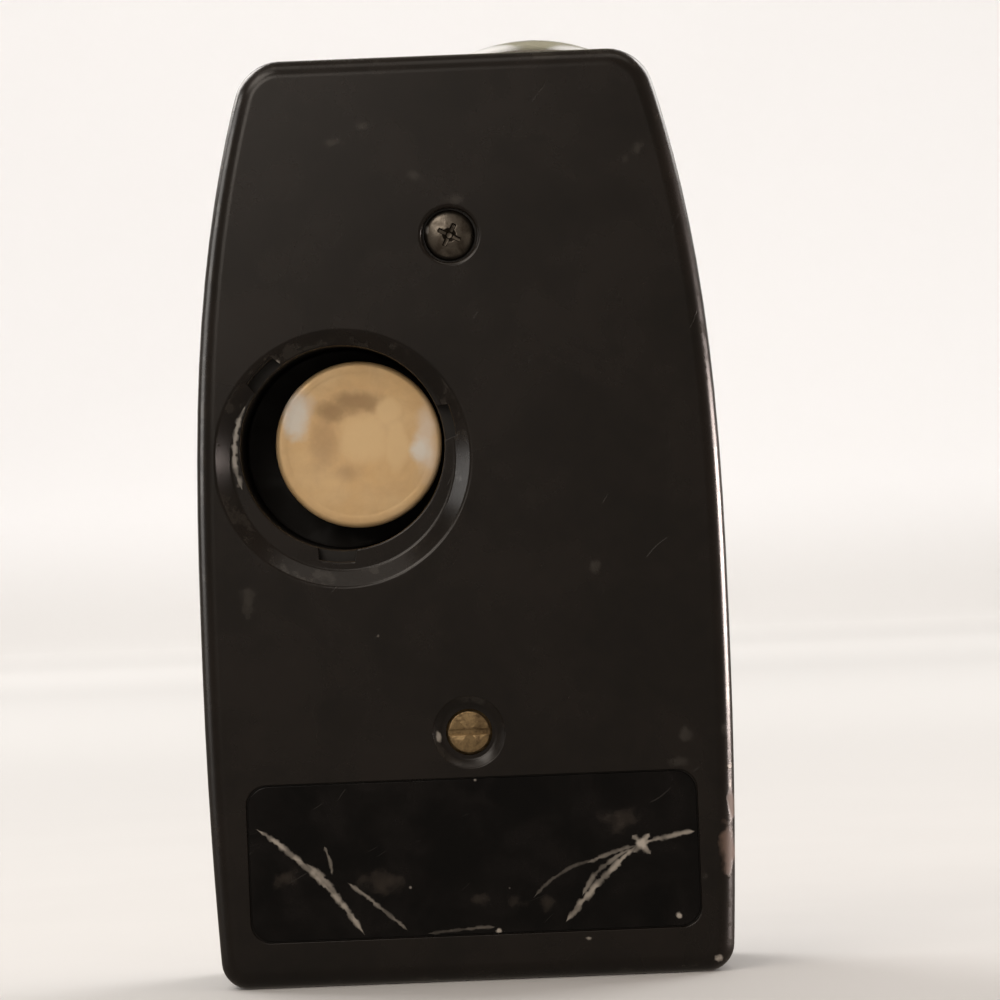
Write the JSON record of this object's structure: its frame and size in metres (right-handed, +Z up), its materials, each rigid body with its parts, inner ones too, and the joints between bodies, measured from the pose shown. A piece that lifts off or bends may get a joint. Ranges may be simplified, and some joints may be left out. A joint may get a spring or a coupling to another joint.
{
  "type": "light meter",
  "caption": "Pocket exposure meter with a tapered casing, top light cell, needle movement, calculator dial and an open round battery chamber in the back.",
  "frame": {"origin": "centre of the flat lower end, on the surface that the meter stands on", "axes": "+Z up the meter towards the light cell, +Y out of the dial side, -Y out of the back cover"},
  "size_m": [0.0492, 0.0272, 0.088],
  "materials": {
    "black_case": "satin",
    "label_black": "gloss",
    "dark_steel": "satin",
    "brass": "worn",
    "chrome": "polished",
    "satin_aluminium": "satin",
    "clear_plastic": "clear",
    "scale_white": "matte",
    "inner_black": "matte",
    "battery_steel": "satin",
    "board_brown": "matte",
    "copper": "satin",
    "iron": "matte",
    "pointer_red": "satin",
    "lens_glass": "polished",
    "cell_red": "matte"
  },
  "bodies": {
    "meter_body": {"back_cover": "black_case", "label_plate": "label_black", "cover_screw": "dark_steel", "front_case": "black_case", "face_plate": "satin_aluminium", "meter_window": "clear_plastic", "scale_plate": "scale_white", "chassis": "inner_black", "chassis_screw_1": "dark_steel", "chassis_screw_2": "dark_steel", "chassis_screw_3": "dark_steel", "chassis_screw_4": "dark_steel", "cell_bezel": "chrome", "cell_lens": "lens_glass", "cell_holder": "inner_black", "photocell": "cell_red", "circuit_board": "board_brown", "resistor_1": "board_brown", "resistor_2": "board_brown", "resistor_3": "board_brown", "trimmer": "inner_black", "battery_cup": "inner_black", "contact_spring": "brass", "movement_yoke": "iron", "core_magnet": "iron", "front_bridge": "brass", "rear_bridge": "brass", "bridge_screw_1": "dark_steel", "bridge_screw_2": "dark_steel", "jewel_screw_rear": "dark_steel", "jewel_screw_front": "dark_steel", "dial_plate": "satin_aluminium", "spring_washer": "dark_steel", "dial_screw": "chrome", "contact_blade": "brass"},
    "battery": {"battery_can": "battery_steel", "battery_seal": "inner_black", "battery_cap": "battery_steel"},
    "zero_adjuster": {"zero_adjust_screw": "brass"},
    "zero_lever_group": {"zero_lever": "brass", "hairspring": "brass"},
    "coil_group": {"moving_coil": "copper", "pivot_rear": "dark_steel", "pivot_front": "dark_steel", "pointer": "pointer_red"},
    "exposure_dial": {"exposure_ring": "black_case"},
    "film_speed_dial": {"film_speed_disc": "satin_aluminium"},
    "reading_button_group": {"reading_button": "chrome"},
    "range_switch": {"range_slider": "chrome"}
  },
  "joints": [
    {"name": "battery_lift", "type": "slide", "parent": "meter_body", "child": "battery", "axis": [0, -1, 0], "range_m": [0, 0.014]},
    {"name": "zero_adjust_turn", "type": "hinge", "parent": "meter_body", "child": "zero_adjuster", "pos_m": [0, -0.011, 0.0231], "axis": [0, -1, 0], "range_deg": [-35, 35]},
    {"name": "zero_lever_swing", "type": "hinge", "parent": "meter_body", "child": "zero_lever_group", "pos_m": [0, -0.007, 0.032], "axis": [0, -1, 0], "range_deg": [-4.2, 4.2]},
    {"name": "pointer_swing", "type": "hinge", "parent": "zero_lever_group", "child": "coil_group", "pos_m": [0, 0, 0.032], "axis": [0, -1, 0], "range_deg": [0, 44], "stiffness_Nm_per_rad": 0.0002},
    {"name": "exposure_dial_turn", "type": "hinge", "parent": "meter_body", "child": "exposure_dial", "pos_m": [0, 0.011, 0.0278], "axis": [0, 1, 0], "continuous": true},
    {"name": "film_speed_turn", "type": "hinge", "parent": "exposure_dial", "child": "film_speed_dial", "pos_m": [0, 0.012, 0.0278], "axis": [0, 1, 0], "range_deg": [-150, 150]},
    {"name": "reading_button_press", "type": "slide", "parent": "meter_body", "child": "reading_button_group", "axis": [0, -1, 0], "range_m": [0, 0.0009], "stiffness_N_per_m": 400},
    {"name": "range_slide", "type": "slide", "parent": "meter_body", "child": "range_switch", "axis": [0, 0, 1], "range_m": [0, 0.0024]}
  ],
  "couplings": [
    {"joint": "zero_lever_swing", "follows": "zero_adjust_turn", "ratio": -0.1125}
  ]
}
